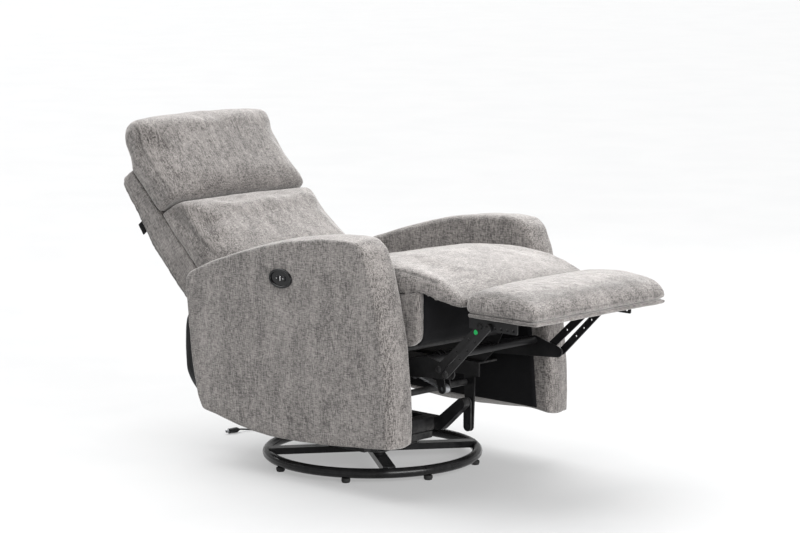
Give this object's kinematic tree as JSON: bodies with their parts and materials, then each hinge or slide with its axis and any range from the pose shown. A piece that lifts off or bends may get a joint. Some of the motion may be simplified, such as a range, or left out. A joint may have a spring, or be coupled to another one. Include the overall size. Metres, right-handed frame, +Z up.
{
  "type": "power swivel glider recliner",
  "caption": "Upholstered power recliner with a footrest, that swivels and glides on a round ring base with a cross.",
  "frame": {"origin": "on the floor, in the middle of the footprint box of the fully reclined chair with its footrest out; the swivel axis stands 34 mm behind it", "axes": "+Z up, -Y is the way the sitter faces, +X is the sitter's left"},
  "size_m": [0.7263, 1.5701, 0.9206],
  "materials": {
    "upholstery": "woven chenille",
    "cushion_fabric": "woven chenille",
    "black_lining": "matt non-woven cloth",
    "charcoal_cloth": "matt plain-woven cloth",
    "black_steel": "satin black paint",
    "gloss_black_steel": "gloss black paint",
    "zinc_steel": "zinc plated",
    "black_plastic": "fine matt texture",
    "gloss_black_plastic": "gloss",
    "rubber": "matt",
    "lead_rubber": "smooth matt",
    "timber": "plain sawn"
  },
  "bodies": {
    "base": {"ring": "gloss_black_steel", "cross": "gloss_black_steel", "hub_plate": "black_steel", "pivot_bolt": "zinc_steel", "bearing_race_lower": "zinc_steel", "foot_1": "rubber", "foot_2": "rubber", "foot_3": "rubber", "foot_4": "rubber", "foot_5": "rubber", "foot_6": "rubber", "foot_7": "rubber", "foot_8": "rubber"},
    "swivel_frame": {"bearing_race_upper": "zinc_steel", "swivel_pan": "black_steel", "glider_frame": "black_steel"},
    "front_glide_links": {"glide_link_front_left": "black_steel", "glide_link_front_right": "black_steel"},
    "rear_glide_links": {"glide_link_rear_left": "black_steel", "glide_link_rear_right": "black_steel"},
    "seat_frame": {"hanger_rail_left": "black_steel", "hanger_rail_right": "black_steel", "front_cross_tube": "black_steel", "rear_cross_rail": "timber", "arm_left": "upholstery", "arm_right": "upholstery", "arm_lining_left": "black_lining", "arm_lining_right": "black_lining", "control_bezel": "gloss_black_plastic", "rear_flap": "charcoal_cloth", "lead_gland": "black_plastic", "power_lead": "lead_rubber", "plug": "black_plastic"},
    "open_button": {"button_open": "black_plastic"},
    "close_button": {"button_close": "black_plastic"},
    "seat": {"seat_side_plate_left": "black_steel", "seat_side_plate_right": "black_steel", "seat_box": "upholstery", "seat_cushion": "cushion_fabric", "seat_tube_front": "black_steel", "seat_tube_rear": "black_steel", "chaise_hinge_rod": "black_steel", "actuator_housing": "black_plastic"},
    "back": {"back_shell": "upholstery", "lumbar_cushion": "cushion_fabric", "head_cushion": "cushion_fabric", "back_bracket_left": "black_steel", "back_bracket_right": "black_steel", "edge_tag": "black_lining"},
    "chaise": {"chaise_pad": "cushion_fabric"},
    "ottoman": {"ottoman_cushion": "cushion_fabric", "ottoman_board": "upholstery", "ottoman_bracket_left": "black_steel", "ottoman_bracket_right": "black_steel"},
    "footrest_drive": {"footrest_drive_frame": "black_steel"},
    "rear_footrest_links": {"footrest_link_rear_left": "black_steel", "footrest_link_rear_right": "black_steel"},
    "front_footrest_links": {"footrest_link_front_left": "black_steel", "footrest_link_front_right": "black_steel"},
    "actuator_slide": {"actuator_rod": "zinc_steel"}
  },
  "joints": [
    {"name": "swivel", "type": "hinge", "parent": "base", "child": "swivel_frame", "pos_m": [0, 0.034, 0.058], "axis": [0, 0, 1], "continuous": true},
    {"name": "front_link_swing", "type": "hinge", "parent": "swivel_frame", "child": "front_glide_links", "pos_m": [0, -0.156, 0.16], "axis": [1, 0, 0], "range_deg": [-30, 30]},
    {"name": "rear_link_swing", "type": "hinge", "parent": "swivel_frame", "child": "rear_glide_links", "pos_m": [0, 0.224, 0.16], "axis": [1, 0, 0], "range_deg": [-30, 30]},
    {"name": "glide", "type": "hinge", "parent": "front_glide_links", "child": "seat_frame", "pos_m": [0, -0.156, 0.092], "axis": [1, 0, 0], "range_deg": [-30, 30]},
    {"name": "back_recline", "type": "hinge", "parent": "seat_frame", "child": "back", "pos_m": [0, 0.224, 0.5], "axis": [1, 0, 0], "range_deg": [0, 26]},
    {"name": "seat_slide", "type": "slide", "parent": "seat_frame", "child": "seat", "axis": [0, 1, 0], "range_m": [0, 0.0321]},
    {"name": "footrest", "type": "hinge", "parent": "seat", "child": "chaise", "pos_m": [0, -0.3883, 0.54], "axis": [1, 0, 0], "range_deg": [0, 78]},
    {"name": "ottoman_fold", "type": "hinge", "parent": "chaise", "child": "ottoman", "pos_m": [0, -0.546, 0.522], "axis": [1, 0, 0], "range_deg": [0, 8.1]},
    {"name": "footrest_drive", "type": "hinge", "parent": "seat", "child": "footrest_drive", "pos_m": [0, -0.216, 0.32], "axis": [1, 0, 0], "range_deg": [0, 57.6]},
    {"name": "rear_link_turn", "type": "hinge", "parent": "ottoman", "child": "rear_footrest_links", "pos_m": [0, -0.565, 0.473], "axis": [1, 0, 0], "range_deg": [-130.9, 0]},
    {"name": "front_link_turn", "type": "hinge", "parent": "ottoman", "child": "front_footrest_links", "pos_m": [0, -0.596, 0.473], "axis": [1, 0, 0], "range_deg": [-131.4, 0]},
    {"name": "actuator_stroke", "type": "slide", "parent": "seat", "child": "actuator_slide", "axis": [0, 0.9637, 0.2669], "range_m": [0, 0.0841]},
    {"name": "open_button_press", "type": "slide", "parent": "seat_frame", "child": "open_button", "axis": [1, 0, 0], "range_m": [0, 0.0015], "stiffness_N_per_m": 600},
    {"name": "close_button_press", "type": "slide", "parent": "seat_frame", "child": "close_button", "axis": [1, 0, 0], "range_m": [0, 0.0015], "stiffness_N_per_m": 600}
  ],
  "couplings": [
    {"joint": "front_link_swing", "follows": "glide", "ratio": -1},
    {"joint": "rear_link_swing", "follows": "glide", "ratio": -1},
    {"joint": "seat_slide", "follows": "back_recline", "m_per_rad": 0.0705},
    {"joint": "ottoman_fold", "follows": "footrest", "ratio": 0.10256},
    {"joint": "footrest_drive", "follows": "footrest", "ratio": 0.73644},
    {"joint": "rear_link_turn", "follows": "footrest", "ratio": -1.675},
    {"joint": "front_link_turn", "follows": "footrest", "ratio": -1.6815},
    {"joint": "actuator_stroke", "follows": "footrest", "m_per_rad": 0.061648}
  ]
}
